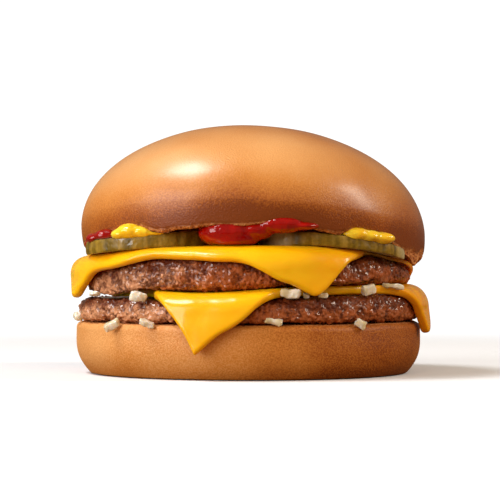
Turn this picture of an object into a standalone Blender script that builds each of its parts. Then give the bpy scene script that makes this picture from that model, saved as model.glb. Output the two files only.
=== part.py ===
"""A double cheeseburger: heel, patty, cheese, patty, cheese, pickle slices, sauces and a tilted crown.

Metres, +Z up. The burger stands on the plane z = 0 round the Z axis, and its shown side faces -Y.
Angles round the burger are counted from the front (-Y) towards the right (+X).
Every layer is bounded by the height functions below, so that neighbours keep GAP between them.
"""

import math

import bmesh
import bpy
from mathutils import Matrix, Vector

MM = 0.001
GAP = 0.35 * MM
# Brings the middle of the whole burger, with its hanging corners, onto the Z axis
BURGER_SHIFT = Vector((-0.70, 0.40, 0.0)) * MM

# Bun
BUN_RADIUS = 49.6 * MM
HEEL_HEIGHT = 15.0 * MM
HEEL_FOOT_RADIUS = 44.3 * MM
HEEL_FOOT_RISE = 10.5 * MM
HEEL_SHOULDER = 1.8 * MM
HEEL_CENTRE = Vector((-0.7, 0.0, 0.0)) * MM
CROWN_RADIUS = 50.0 * MM
CROWN_DOME = 30.3 * MM
CROWN_WALL = 5.8 * MM
CROWN_WALL_INSET = 0.7 * MM
CROWN_LIP = 1.3 * MM
CROWN_CENTRE = Vector((0.7, 0.6, 40.0)) * MM
CROWN_TILT = math.radians(10.0)
CROWN_ROLL = math.radians(2.3)
CROWN_LOWEST = 29.8 * MM

# Meat
LOWER_PATTY_RADIUS = 49.4 * MM
LOWER_PATTY_TOP = 22.1 * MM
LOWER_PATTY_CENTRE = Vector((-0.6, 0.0, 0.0)) * MM
UPPER_PATTY_RADIUS = 46.8 * MM
UPPER_PATTY_CENTRE = Vector((-0.6, -1.7, 0.0)) * MM
PATTY_EDGE = 4.4 * MM
PATTY_EDGE_POWER = 0.78

# Cheese
SLICE_THICKNESS = 2.6 * MM
SLICE_CLEARANCE = 0.9 * MM
SLICE_FLARE = math.radians(7.0)
SLICE_CORNER = 18.0
SLICE_COLUMNS = 48
SLICE_RINGS = 6
# Each slice: half its side, its turn, its middle in plan, and how its front, right, back and left
# corners have moved as they melted: a share of the way in to the middle (out, when negative), and
# an angle round it
LOWER_SLICE = {
    "half": 43.2 * MM,
    "turn": math.radians(-12.5),
    "middle": Vector((0.9, -1.2)) * MM,
    "corners": [(-0.085, math.radians(-5.0)), (0.0, 0.0), (0.02, 0.0), (0.22, 0.0)],
}
UPPER_SLICE = {
    "half": 45.0 * MM,
    "turn": math.radians(18.5),
    "middle": Vector((-1.6, -0.6)) * MM,
    "corners": [(0.045, math.radians(4.0)), (0.19, 0.0), (0.21, 0.0), (0.075, math.radians(2.0))],
}

# Pickles
PICKLE_RADIUS = 19.0 * MM
PICKLE_THICKNESS = 4.1 * MM
PICKLES = {"pickle_left": Vector((-27.4, -17.0)) * MM, "pickle_right": Vector((24.6, -21.0)) * MM}

# Sauces, in millimetres: the middle in plan, half the size along X and Y, and the thickness
SAUCES = {
    "ketchup_middle": {"middle": (0.8, -38.5), "half": (16.0, 11.0), "thick": 6.4, "on_pickle": False},
    "ketchup_left": {"middle": (-42.0, -22.0), "half": (5.5, 7.5), "thick": 2.6, "on_pickle": True},
    "mustard_left": {"middle": (-29.8, -33.0), "half": (8.4, 7.0), "thick": 2.4, "on_pickle": True},
    "mustard_right": {"middle": (33.6, -31.5), "half": (8.6, 7.0), "thick": 2.5, "on_pickle": True},
}


def smooth_max(a, b, width):
    """The larger of two heights, with the crease between them rounded over width."""
    return 0.5 * (a + b + math.hypot(a - b, width))


def smooth_step(value, start, end):
    t = min(max((value - start) / (end - start), 0.0), 1.0)
    return t * t * (3.0 - 2.0 * t)


def bearing(x, y):
    """The angle round the burger, from the front towards the right."""
    return math.atan2(x, -y)


def lower_lift(x, y):
    """How far the layers on the lower patty lean up to the right and sag at the hanging front corner."""
    lean = 0.6 * MM * x / BUN_RADIUS
    spread = 13.0 * MM
    sag = 1.4 * MM * math.exp(-((x + 13.0 * MM) ** 2 + (y + 46.0 * MM) ** 2) / (2.0 * spread**2))
    return lean - sag


def heel_top(x, y):
    return HEEL_HEIGHT + GAP


def upper_slice_top(x, y):
    """The arched top of the upper cheese, highest at the front middle and lower at both sides."""
    side = x / (44.0 * MM)
    depth = (y + 30.0 * MM) / (70.0 * MM)
    return 36.0 * MM - 2.9 * MM * side**2 - 0.6 * MM * side - 1.2 * MM * depth**2


def slice_outline(shape, share):
    """A point on the outline of a flat slice, at a share of the way round it from its front corner."""
    side = int(4.0 * share) % 4
    along = 2.0 * (4.0 * share - int(4.0 * share)) - 1.0
    along = 0.8 * along + 0.2 * math.sin(0.5 * math.pi * along)
    rounding = (1.0 + abs(along) ** SLICE_CORNER) ** (-1.0 / SLICE_CORNER)
    inwards, sideways = shape["corners"][(side + 1) % 4 if along > 0.0 else side]
    nearness = abs(along) ** 3
    turn = shape["turn"] + math.radians(45.0 + 90.0 * side) + nearness * sideways
    flat = Matrix.Rotation(turn, 2) @ Vector((along, -1.0))
    return shape["half"] * rounding * (1.0 - inwards * nearness) * flat + shape["middle"]


def slice_distance(shape, x, y):
    """How far a point lies outside the sides of a flat slice; negative inside."""
    turn = Matrix.Rotation(-shape["turn"] - math.radians(45.0), 2)
    flat = turn @ (Vector((x, y)) - shape["middle"])
    return max(abs(flat.x), abs(flat.y)) - shape["half"]


def lower_patty_top(x, y):
    return LOWER_PATTY_TOP + lower_lift(x, y)


def upper_patty_bottom(x, y):
    """The underside of the upper patty, which lies on the lower slice and sags past its edges."""
    away = slice_distance(LOWER_SLICE, x, y)
    sag = 2.0 * MM * smooth_step(away, 0.9 * MM, 3.6 * MM)
    return lower_patty_top(x, y) + SLICE_THICKNESS + 2.0 * GAP - sag


def upper_patty_top(x, y):
    return upper_slice_top(x, y) - SLICE_THICKNESS - GAP


def lower_patty_rim(angle):
    """The uneven outline of the lower patty."""
    wave = 0.5 * math.sin(2.0 * angle + 0.4) + 0.35 * math.sin(5.0 * angle + 1.0)
    return LOWER_PATTY_RADIUS + (wave + 0.25 * math.sin(9.0 * angle)) * MM


def upper_patty_rim(angle):
    """The uneven outline of the upper patty, a little wider than it is deep and flatter at the back."""
    wave = 0.35 * math.sin(5.0 * angle + 2.2) + 0.25 * math.sin(8.0 * angle + 0.7)
    flattening = 0.7 * math.cos(2.0 * angle) + 1.0 * (1.0 - math.cos(angle))
    return UPPER_PATTY_RADIUS + (wave - flattening) * MM


def crown_plane(x, y):
    """The plane of the cut under the tilted crown."""
    rim_middle = CROWN_CENTRE.z - CROWN_WALL
    return rim_middle - math.tan(CROWN_TILT) * (y - CROWN_CENTRE.y) - math.tan(CROWN_ROLL) * x


def pickle_cover(x, y, start, end):
    """1 over the pickle slices and up to start outside their outlines, then falling to 0 at end."""
    nearest = min(math.hypot(x - middle.x, y - middle.y) for middle in PICKLES.values())
    return 1.0 - smooth_step(nearest, PICKLE_RADIUS + start, PICKLE_RADIUS + end)


def sauce_floor(shape, x, y):
    """The height on which a sauce lies: the cheese, or the pickle slice on it."""
    floor = upper_slice_top(x, y) + GAP
    return floor + PICKLE_THICKNESS + GAP if shape["on_pickle"] else floor


def sauce_top(shape, x, y, spread=1.0):
    """The domed top of a pressed-out sauce; outside its outline, the height on which the sauce lies."""
    across = (x / MM - shape["middle"][0]) / (spread * shape["half"][0])
    along = (y / MM - shape["middle"][1]) / (spread * shape["half"][1])
    dome = max(1.0 - across**2 - along**2, 0.0) ** 0.4
    return sauce_floor(shape, x, y) + dome * shape["thick"] * MM


def crown_rest(x, y, start, end):
    """The lowest height the crown can have over the cheese, the pickles and the sauces."""
    rest = upper_slice_top(x, y) + 2.0 * GAP + (PICKLE_THICKNESS + GAP) * pickle_cover(x, y, start, end)
    for shape in SAUCES.values():
        top = sauce_top(shape, x, y, 1.35)
        if top > sauce_floor(shape, x, y):
            rest = max(rest, top + 1.5 * GAP)
    return rest


def crown_rim(x, y):
    """The height of the crown's rim: its tilted plane, held up in front by the pickles and the sauces."""
    plane = smooth_max(crown_plane(x, y), CROWN_LOWEST, 1.6 * MM)
    return max(plane, crown_rest(x, y, 1.0 * MM, 3.0 * MM)) if y < -8.0 * MM else plane


def crown_underside(x, y):
    """The soft crumb under the crown, which takes the shape of what it lies on."""
    return smooth_max(crown_plane(x, y), crown_rest(x, y, 3.5 * MM, 9.0 * MM), 1.0 * MM)


def material(name, colour, roughness):
    made = bpy.data.materials.new(name)
    made.use_nodes = True
    shader = made.node_tree.nodes["Principled BSDF"]
    shader.inputs["Base Color"].default_value = (*colour, 1.0)
    shader.inputs["Roughness"].default_value = roughness
    shader.inputs["Metallic"].default_value = 0.0
    made.diffuse_color = (*colour, 1.0)
    return made


def collection(name):
    made = bpy.data.collections.new(name)
    bpy.context.scene.collection.children.link(made)
    return made


def add_object(name, mesh, group, finish=None):
    made = bpy.data.objects.new(name, mesh)
    group.objects.link(made)
    if finish is not None:
        mesh.materials.clear()
        mesh.materials.append(finish)
    return made


def evaluated_mesh(source):
    bpy.context.view_layer.update()
    graph = bpy.context.evaluated_depsgraph_get()
    return bpy.data.meshes.new_from_object(source.evaluated_get(graph))


def move_points(mesh, place):
    for vertex in mesh.vertices:
        vertex.co = place(vertex.co)
    mesh.shade_smooth()
    mesh.update()


def turned_mesh(name, profile, steps, group):
    """A closed mesh turned from a profile of (radius, height) points that runs down its outer side."""
    outline = bpy.data.meshes.new(name + "_profile")
    edges = [(i, i + 1) for i in range(len(profile) - 1)]
    outline.from_pydata([(radius, 0.0, height) for radius, height in profile], edges, [])
    turning = add_object(name + "_turning", outline, group)
    screw = turning.modifiers.new("turn", "SCREW")
    screw.axis = "Z"
    screw.angle = math.tau
    screw.screw_offset = 0.0
    screw.steps = screw.render_steps = steps
    screw.use_merge_vertices = True
    screw.merge_threshold = 0.00001
    mesh = evaluated_mesh(turning)
    bpy.data.objects.remove(turning)
    mesh.name = name
    return mesh


def quarter_arc(count):
    """Angles from 0 up to and including a quarter turn."""
    return [0.5 * math.pi * i / count for i in range(count + 1)]


def heel_profile():
    """The cut face, a small rounded shoulder, an upright side and a tucked-in foot."""
    face = [(share * BUN_RADIUS, HEEL_HEIGHT) for share in (0.0, 0.35, 0.7)]
    shoulder = [
        (
            BUN_RADIUS - HEEL_SHOULDER * (1.0 - math.sin(angle)),
            HEEL_HEIGHT - HEEL_SHOULDER * (1.0 - math.cos(angle)),
        )
        for angle in quarter_arc(3)
    ]
    tuck = BUN_RADIUS - HEEL_FOOT_RADIUS
    side = [
        (BUN_RADIUS - tuck * share**2.2, HEEL_FOOT_RISE * (1.0 - share))
        for share in (0.0, 0.25, 0.45, 0.65, 0.82, 0.94)
    ]
    foot = [(HEEL_FOOT_RADIUS - 0.6 * MM, 0.0), (0.5 * HEEL_FOOT_RADIUS, 0.0), (0.0, 0.0)]
    return face + shoulder + side + foot


def build_heel(group, finish, workshop):
    mesh = turned_mesh("bun_heel", heel_profile(), 44, workshop)

    def place(point):
        angle = bearing(point.x, point.y)
        swell = 1.0 + 0.004 * math.sin(3.0 * angle + 0.6)
        return Vector((point.x * swell, point.y * swell, point.z)) + HEEL_CENTRE

    move_points(mesh, place)
    return add_object("bun_heel", mesh, group, finish)


def rounded_edge(out, down, count):
    """Points (distance out, distance down) of a rounded edge, from the top face to the widest place."""
    angles = quarter_arc(count)
    return [
        (out * math.sin(angle) ** PATTY_EDGE_POWER, down * (1.0 - math.cos(angle) ** PATTY_EDGE_POWER))
        for angle in angles
    ]


def follow(path, along):
    """The point at a distance along a path, and how much of the distance is left past its end."""
    for start, end in zip(path, path[1:]):
        step = math.dist(start, end)
        if along <= step:
            share = along / step
            return start[0] + share * (end[0] - start[0]), start[1] + share * (end[1] - start[1]), 0.0
        along -= step
    return *path[-1], along


def build_patty(name, support, group, finish, workshop):
    """A flat round of minced meat: its faces follow the layers it lies between, and its edge is rounded."""
    centre, rim, bottom, top = support
    inner = LOWER_PATTY_RADIUS - PATTY_EDGE
    upper = [(inner * share, 1.0) for share in (0.0, 0.4, 0.75)]
    upper += [(inner + out, 1.0 - down) for out, down in rounded_edge(PATTY_EDGE, 1.0, 4)]
    lower = [(radius, -height) for radius, height in upper[-2::-1]]
    mesh = turned_mesh(name, upper + lower, 46, workshop)

    def place(point):
        angle = bearing(point.x, point.y)
        flat_radius = math.hypot(point.x, point.y)
        edge = max(flat_radius - inner, 0.0)
        radius = min(flat_radius, inner) / inner * (rim(angle) - PATTY_EDGE) + edge
        x = centre.x + radius * math.sin(angle)
        y = centre.y - radius * math.cos(angle)
        low, high = bottom(x, y), top(x, y)
        return Vector((x, y, 0.5 * (low + high) + 0.5 * (high - low) * point.z))

    move_points(mesh, place)
    return add_object(name, mesh, group, finish)


def drape(flat_x, flat_y, centre, rim, bottom, top):
    """Where a point of a flat cheese slice lies once the slice has softened over the edge of its patty."""
    x, y = flat_x - centre.x, flat_y - centre.y
    angle = bearing(x, y)
    inner = rim(angle) - PATTY_EDGE
    lift = GAP + 0.5 * SLICE_THICKNESS
    along = math.hypot(x, y) - inner
    if along <= 0.0:
        return Vector((flat_x, flat_y, top(flat_x, flat_y) + lift))
    outwards = Vector((math.sin(angle), -math.cos(angle), 0.0))
    corner = centre + inner * outwards
    corner.z = top(corner.x, corner.y) + lift
    clear = SLICE_CLEARANCE + 0.5 * SLICE_THICKNESS
    half_height = 0.5 * (top(corner.x, corner.y) - bottom(corner.x, corner.y))
    out, down, hang = follow(rounded_edge(PATTY_EDGE + clear, half_height + clear, 12), along)
    out += hang * math.sin(SLICE_FLARE)
    down += hang * math.cos(SLICE_FLARE)
    return corner + out * outwards - Vector((0.0, 0.0, down))


def slice_radii(inner, reach):
    """Distances from a patty's middle to the edge of its slice, closest together over the patty's edge."""
    start = min(inner, 0.96 * reach)
    radii = [0.6 * start, start]
    return radii + [start + (reach - start) * step / SLICE_RINGS for step in range(1, SLICE_RINGS + 1)]


def build_slice(name, shape, support, group, finish):
    """A square slice of processed cheese, draped over its patty with its corners hanging down."""
    centre, rim = support[:2]
    points = [drape(centre.x, centre.y, *support)]
    for column in range(SLICE_COLUMNS):
        edge = slice_outline(shape, column / SLICE_COLUMNS) - centre.xy
        inner = rim(bearing(edge.x, edge.y)) - PATTY_EDGE
        for radius in slice_radii(inner, edge.length):
            flat = centre.xy + radius * edge.normalized()
            points.append(drape(flat.x, flat.y, *support))
    rings = SLICE_RINGS + 2
    faces = []
    for column in range(SLICE_COLUMNS):
        here, after = 1 + rings * column, 1 + rings * ((column + 1) % SLICE_COLUMNS)
        faces.append((0, here, after))
        faces += [(here + i, here + i + 1, after + i + 1, after + i) for i in range(rings - 1)]
    mesh = bpy.data.meshes.new(name)
    mesh.from_pydata(points, [], faces)
    mesh.shade_smooth()
    made = add_object(name, mesh, group, finish)
    thicken = made.modifiers.new("thickness", "SOLIDIFY")
    thicken.thickness = SLICE_THICKNESS
    thicken.offset = 0.0
    return made


def pickle_mesh(name, centre, grow, workshop):
    """A round slice bent over the arch of the cheese; grow makes a cutter that leaves clearance."""
    radius = PICKLE_RADIUS + grow
    chamfer = 0.5 * MM
    half = 0.5 * PICKLE_THICKNESS + grow
    profile = [(share * radius, half) for share in (0.0, 0.4, 0.75)]
    profile += [(radius - chamfer, half), (radius, half - chamfer)]
    profile += [(radius, chamfer - half), (radius - chamfer, -half)]
    profile += [(share * radius, -half) for share in (0.75, 0.4, 0.0)]
    mesh = turned_mesh(name, profile, 26, workshop)

    def place(point):
        angle = bearing(point.x, point.y)
        swell = 1.0 + 0.012 * math.sin(3.0 * angle + 1.0) - 0.012
        x, y = centre.x + point.x * swell, centre.y + point.y * swell
        return Vector((x, y, upper_slice_top(x, y) + GAP + 0.5 * PICKLE_THICKNESS + point.z))

    move_points(mesh, place)
    return mesh


def build_sauce(name, shape, cutters, group, finish):
    """A pressed-out blob of sauce between what it lies on and the crown, cut to fit round the pickles."""
    mesh = bpy.data.meshes.new(name)
    ball = bmesh.new()
    bmesh.ops.create_uvsphere(ball, u_segments=18, v_segments=9, radius=1.0)
    for vertex in ball.verts:
        x = (shape["middle"][0] + shape["half"][0] * vertex.co.x) * MM
        y = (shape["middle"][1] + shape["half"][1] * vertex.co.y) * MM
        low, high = sauce_floor(shape, x, y), sauce_top(shape, x, y)
        middle = low + 0.3 * shape["thick"] * MM
        vertex.co = Vector((x, y, high if vertex.co.z > 0.3 else middle if vertex.co.z > -0.3 else low))
    ball.to_mesh(mesh)
    ball.free()
    mesh.shade_smooth()
    made = add_object(name, mesh, group, finish)
    for cutter in cutters:
        cut = made.modifiers.new("fit_round_" + cutter.name, "BOOLEAN")
        cut.operation = "DIFFERENCE"
        cut.object = cutter
    return made


def crown_profile():
    """The dome, the upright wall, the lip of the cut and the underside, before the crown is tilted."""
    dome = [(CROWN_RADIUS * math.sin(angle), CROWN_DOME * math.cos(angle)) for angle in quarter_arc(10)]
    wall = [
        (CROWN_RADIUS - CROWN_WALL_INSET * share**2, -CROWN_WALL * share)
        for share in (0.35, 0.7, 1.0)
    ]
    rim = CROWN_RADIUS - CROWN_WALL_INSET
    lip = [(rim - 0.35 * CROWN_LIP, -2.0 * CROWN_WALL), (rim - CROWN_LIP, -2.0 * CROWN_WALL)]
    under = [(rim - CROWN_LIP - 0.4 * MM, -3.0 * CROWN_WALL)]
    under += [(share * rim, -3.0 * CROWN_WALL) for share in (0.9, 0.8, 0.68, 0.54, 0.38, 0.2, 0.0)]
    return dome + wall + lip + under


def build_crown(group, finish, workshop):
    """The domed upper half of the bun, leaning back on the pickles and soft against the cheese."""
    mesh = turned_mesh("bun_crown", crown_profile(), 44, workshop)
    tilt = Matrix.Rotation(-CROWN_TILT, 3, "X") @ Matrix.Rotation(CROWN_ROLL, 3, "Y")

    def place(point):
        if point.z >= 0.0:
            return tilt @ point + CROWN_CENTRE
        level = tilt @ Vector((point.x, point.y, 0.0)) + CROWN_CENTRE
        if point.z >= -1.01 * CROWN_WALL:
            share = -point.z / CROWN_WALL
            return Vector((level.x, level.y, level.z + share * (crown_rim(level.x, level.y) - level.z)))
        if point.z >= -2.01 * CROWN_WALL:
            return Vector((level.x, level.y, crown_rim(level.x, level.y)))
        return Vector((level.x, level.y, crown_underside(level.x, level.y)))

    move_points(mesh, place)
    return add_object("bun_crown", mesh, group, finish)


def build_burger():
    for old in list(bpy.data.objects):
        bpy.data.objects.remove(old)
    burger = collection("double_cheeseburger")
    workshop = collection("cutters")
    crust = material("bun_crust", (0.62, 0.30, 0.10), 0.45)
    meat = material("seared_beef", (0.20, 0.08, 0.04), 0.55)
    cheese = material("processed_cheese", (0.95, 0.52, 0.02), 0.30)
    pickle = material("pickle", (0.21, 0.20, 0.03), 0.25)
    ketchup = material("ketchup", (0.45, 0.01, 0.005), 0.20)
    mustard = material("mustard", (0.90, 0.58, 0.03), 0.30)

    build_heel(burger, crust, workshop)
    lower = (LOWER_PATTY_CENTRE, lower_patty_rim, heel_top, lower_patty_top)
    upper = (UPPER_PATTY_CENTRE, upper_patty_rim, upper_patty_bottom, upper_patty_top)
    build_patty("patty_lower", lower, burger, meat, workshop)
    build_slice("cheese_lower", LOWER_SLICE, lower, burger, cheese)
    build_patty("patty_upper", upper, burger, meat, workshop)
    build_slice("cheese_upper", UPPER_SLICE, upper, burger, cheese)

    cutters = []
    for name, centre in PICKLES.items():
        add_object(name, pickle_mesh(name, centre, 0.0, workshop), burger, pickle)
        grown = pickle_mesh(name + "_clearance", centre, GAP, workshop)
        cutter = add_object(name + "_clearance", grown, workshop)
        cutter.hide_render = True
        cutter.display_type = "WIRE"
        cutters.append(cutter)
    for name, shape in SAUCES.items():
        sauce = ketchup if name.startswith("ketchup") else mustard
        build_sauce(name, shape, [] if shape["on_pickle"] else cutters, burger, sauce)
    build_crown(burger, crust, workshop)
    for made in [*burger.objects, *workshop.objects]:
        made.data.transform(Matrix.Translation(BURGER_SHIFT))


build_burger()
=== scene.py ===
"""The double cheeseburger dressed for close views: crust, crumb, meat, melted cheese, sauces, onion.

Lengths in the shape rules are millimetres, and become metres when a mesh is made. Angles round the
burger are counted from the front (-Y) towards the right (+X). The rules for the layers follow those
of the solids, so each piece lies where its solid lies.
"""

import math
from collections import namedtuple

import bpy
import numpy as np
from mathutils import Euler, Matrix, Vector, noise


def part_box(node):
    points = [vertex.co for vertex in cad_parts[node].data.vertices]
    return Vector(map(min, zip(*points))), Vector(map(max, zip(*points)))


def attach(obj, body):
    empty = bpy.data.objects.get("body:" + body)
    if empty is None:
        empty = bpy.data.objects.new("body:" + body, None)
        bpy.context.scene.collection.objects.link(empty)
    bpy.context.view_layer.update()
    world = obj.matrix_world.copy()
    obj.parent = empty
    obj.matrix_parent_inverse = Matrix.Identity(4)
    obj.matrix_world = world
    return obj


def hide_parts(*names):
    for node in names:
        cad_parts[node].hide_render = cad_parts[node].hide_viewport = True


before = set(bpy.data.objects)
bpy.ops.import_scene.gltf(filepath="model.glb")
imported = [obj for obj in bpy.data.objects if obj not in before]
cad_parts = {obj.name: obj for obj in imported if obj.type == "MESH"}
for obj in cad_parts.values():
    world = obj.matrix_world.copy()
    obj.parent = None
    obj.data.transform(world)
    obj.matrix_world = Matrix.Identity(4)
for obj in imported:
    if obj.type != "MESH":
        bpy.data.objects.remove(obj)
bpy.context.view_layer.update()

MM = 0.001
GAP = 0.35


def node_box(node):
    low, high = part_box(node)
    return np.array(low) / MM, np.array(high) / MM


HEEL_LOW, HEEL_HIGH = node_box("bun_heel")
CROWN_LOW, CROWN_HIGH = node_box("bun_crown")
LOWER_PATTY_HIGH = node_box("patty_lower")[1]
UPPER_CHEESE_HIGH = node_box("cheese_upper")[1]

# The middle of the heel's box in the layers' own coordinates, which places them all
HEEL_BOX_MIDDLE = np.array((-0.86, -0.11))
BURGER_SHIFT = np.append(0.5 * (HEEL_LOW + HEEL_HIGH)[:2] - HEEL_BOX_MIDDLE, 0.0)

# Bun
BUN_RADIUS = 0.5 * (HEEL_HIGH[0] - HEEL_LOW[0])
HEEL_HEIGHT = HEEL_HIGH[2]
HEEL_FOOT_RADIUS = 46.0
HEEL_FOOT_RISE = 10.5
HEEL_FOOT_EDGE = 0.35
HEEL_SHOULDER = 1.8
HEEL_CENTRE = np.array((-0.4, 0.0))
HEEL_COLUMNS = 420
# Rows of points across the heel's cut face, and rows of crumb, which reach onto its shoulder
HEEL_FACE_ROWS = 26
HEEL_CUT_ROWS = HEEL_FACE_ROWS + 3
CROWN_RADIUS = 0.5 * (CROWN_HIGH[0] - CROWN_LOW[0]) + 0.04
CROWN_DOME = 30.3
CROWN_WALL = 5.8
CROWN_WALL_INSET = 0.7
CROWN_LIP = 1.3
CROWN_CENTRE = np.array((0.7, 0.6, CROWN_HIGH[2] - 31.1))
CROWN_TILT = math.radians(10.0)
CROWN_ROLL = math.radians(2.3)
CROWN_LOWEST = CROWN_LOW[2] - 0.14
CROWN_COLUMNS = 480
# Rows of points over the crown's dome, down to its rim, and to where the crust ends in crumb
CROWN_DOME_ROWS = 84
CROWN_RIM_ROW = CROWN_DOME_ROWS + 15
CROWN_CUT_ROW = CROWN_RIM_ROW + 5
# The height of the crown's front rim at places from left to right, lifted over squeezed-out sauce
CROWN_FRONT = [
    (-48.0, 36.8), (-46.0, 38.1), (-43.0, 39.5), (-40.5, 40.6), (-38.4, 40.8), (-36.6, 40.4),
    (-34.0, 41.8), (-32.0, 42.4), (-29.2, 41.9), (-27.2, 40.6), (-23.4, 40.4), (-21.5, 40.9),
    (-19.4, 41.2), (-15.4, 41.3), (-13.8, 41.8), (-11.5, 42.0), (-2.0, 41.9), (1.2, 42.3),
    (7.0, 42.8), (11.0, 42.8), (14.9, 42.2), (18.0, 40.8), (22.3, 40.0), (24.2, 39.8),
    (26.0, 40.2), (28.6, 41.2), (31.5, 40.9), (34.4, 40.1), (38.5, 38.6), (40.0, 37.0),
    (42.0, 36.0), (43.5, 34.8), (45.0, 33.4), (46.2, 31.4), (47.5, 30.8),
]

# Meat. The layers on the lower patty lean up to the right, and sag round a place in front
LOWER_LEAN = 0.6
LOWER_SAG = 1.4
LOWER_SAG_PLACE = (-13.0, -46.0)
LOWER_SAG_WIDTH = 13.0
LOWER_PATTY_RADIUS = 49.4
LOWER_PATTY_TOP = LOWER_PATTY_HIGH[2] - 0.54
LOWER_PATTY_CENTRE = np.array((-0.6, 0.0))
UPPER_PATTY_RADIUS = 46.8
UPPER_PATTY_CENTRE = np.array((-0.6, -1.7))
PATTY_EDGE = 4.4
PATTY_EDGE_POWER = 0.78
PATTY_COLUMNS = 860
# The sizes of the minced meat's relief
MEAT_RELIEF = {
    "Lump Size": 4.6 * MM,
    "Lump Depth": 0.5 * MM,
    "Grain Size": 1.7 * MM,
    "Grain Depth": 0.55 * MM,
    "Swell": 0.6 * MM,
}

# Cheese
CHEESE_PEAK = UPPER_CHEESE_HIGH[2] - 0.03
# The arch of the upper cheese: half its width, where it is highest, and its fall over its depth
ARCH_HALF = 44.0
ARCH_HIGHEST_Y = -30.0
ARCH_DEPTH = 70.0
ARCH_FALL = 1.2
SLICE_THICKNESS = 2.6
SLICE_CLEARANCE = 0.9
SLICE_FLARE = math.radians(7.0)
SLICE_CORNER = 20.0
SLICE_COLUMNS = 480
# How far in from its edge a slice's outer rings lie
SLICE_EDGE_RINGS = np.array((0.0, 0.05, 0.16, 0.34, 0.58, 0.88, 1.25, 1.7))
# Each slice has half its side, its turn and its middle in plan, and how it melted:
#   corners - how its front, right, back and left corners moved: a share of the way in to the middle
#             (out, where negative) and an angle
#   edge - how far its edge crept out, at bearings in degrees
#   stand - the angle at which its bend stands off the patty, and how far
#   thin - what is left of its thickness where it hangs over on the right
LOWER_SLICE = {
    "half": 43.2,
    "turn": math.radians(-12.5),
    "middle": np.array((0.9, -1.2)),
    "corners": np.array([(-0.102, math.radians(-5.0)), (0.017, 0.0), (0.01, 0.0), (0.21, 0.0)]),
    "edge": [
        (-100.0, -7.0), (-56.0, -7.0), (-46.0, -6.5), (-39.0, -2.2), (-33.0, 0.4), (-29.0, 1.0),
        (-23.0, 0.4), (-17.0, -1.4), (-12.0, -1.8), (-5.0, 1.6), (3.0, 1.0), (12.0, -1.8),
        (22.0, -1.2), (45.0, -0.6), (70.0, -0.4), (80.0, 2.6), (90.0, 0.5), (120.0, 0.0),
    ],
    "stand": (math.radians(85.0), -0.8),
    "thin": 1.0,
}
UPPER_SLICE = {
    "half": 45.0,
    "turn": math.radians(18.5),
    "middle": np.array((-1.6, -0.6)),
    "corners": np.array(
        [(0.022, math.radians(2.2)), (0.13, 0.0), (0.2, 0.0), (0.065, math.radians(-3.0))]
    ),
    "edge": [
        (-110.0, 0.0), (-85.0, 0.3), (-77.0, 0.8), (-72.0, 0.2), (-66.0, -2.0), (-60.0, -2.2),
        (-54.0, 0.5), (-47.0, 1.8), (-39.0, 2.6), (-30.0, 2.2), (-20.0, 3.1), (-10.0, 3.2),
        (-2.0, 0.8), (6.0, 1.2), (12.0, 0.2), (17.0, -2.4), (22.0, -0.6), (26.0, 1.6),
        (31.0, -1.0), (36.0, -0.4), (42.0, -0.6), (50.0, -2.6), (68.0, -2.4), (78.0, 0.0),
        (110.0, 0.0),
    ],
    "stand": (math.radians(-98.0), 1.4),
    "thin": 0.4,
}

# Pickles: rounds of a radius, pressed to an oval that has half its size along and across, and a turn
PICKLE_RADIUS = 19.0
PICKLE_BULGE = 0.8
PICKLE_COLUMNS = 300
PICKLE_THICKNESS = 4.1
PICKLES = {
    "pickle_left": {"middle": (-27.3, -21.5), "half": (20.0, 15.5), "turn": math.radians(-20.0)},
    "pickle_right": {"middle": (22.9, -26.5), "half": (21.4, 15.0), "turn": math.radians(20.0)},
}

# Sauces: the space that the crown leaves over each, and how much wider it is than the sauce
SAUCE_ROOM = 1.35
SAUCE_SPACE = {
    "ketchup_middle": {"middle": (0.8, -38.5), "half": (16.0, 11.0), "thick": 6.4, "on_pickle": False},
    "ketchup_left": {"middle": (-42.0, -22.0), "half": (5.5, 7.5), "thick": 2.6, "on_pickle": True},
    "mustard_left": {"middle": (-29.8, -33.0), "half": (8.4, 7.0), "thick": 2.4, "on_pickle": True},
    "mustard_right": {"middle": (33.6, -31.5), "half": (8.6, 7.0), "thick": 2.5, "on_pickle": True},
}
# The drops that each sauce is made of: the middle of each, and half its size along X, Y and Z
SAUCE_DROPS = {
    "ketchup_middle": [
        ((-5.2, -40.4, 39.8), (9.2, 7.6, 4.6)),
        ((-4.2, -43.2, 38.0), (6.8, 4.4, 2.6)),
        ((8.2, -45.2, 41.9), (6.4, 3.6, 2.5)),
        ((14.2, -44.0, 41.5), (4.6, 4.0, 1.2)),
        ((1.6, -43.4, 40.4), (5.0, 4.2, 2.8)),
    ],
    "ketchup_left": [
        ((-40.2, -25.6, 39.0), (3.6, 3.8, 2.1)),
        ((-43.2, -23.4, 38.4), (3.0, 3.8, 1.7)),
        ((-46.0, -18.4, 37.0), (0.9, 1.9, 1.2)),
    ],
    "mustard_left": [
        ((-32.8, -33.2, 40.2), (4.3, 4.2, 2.4)),
        ((-29.4, -34.0, 40.0), (3.8, 4.0, 2.0)),
        ((-25.8, -34.6, 39.8), (4.0, 3.4, 1.0)),
        ((-35.8, -31.6, 39.4), (2.9, 4.2, 1.7)),
    ],
    "mustard_right": [
        ((28.3, -37.6, 39.4), (4.5, 3.8, 2.0)),
        ((34.8, -34.0, 38.3), (5.2, 4.0, 1.9)),
        ((31.6, -36.2, 38.9), (4.6, 3.8, 1.8)),
    ],
}


# ---------------------------------------------------------------- the layers' shape rules


# Where a patty lies: its middle in plan, and the rules for its outline, its underside and its top
Layer = namedtuple("Layer", "centre outline bottom top")


def smooth_max(a, b, width):
    """The larger of two heights, with the crease between them rounded over width."""
    return 0.5 * (a + b + np.hypot(a - b, width))


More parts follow.
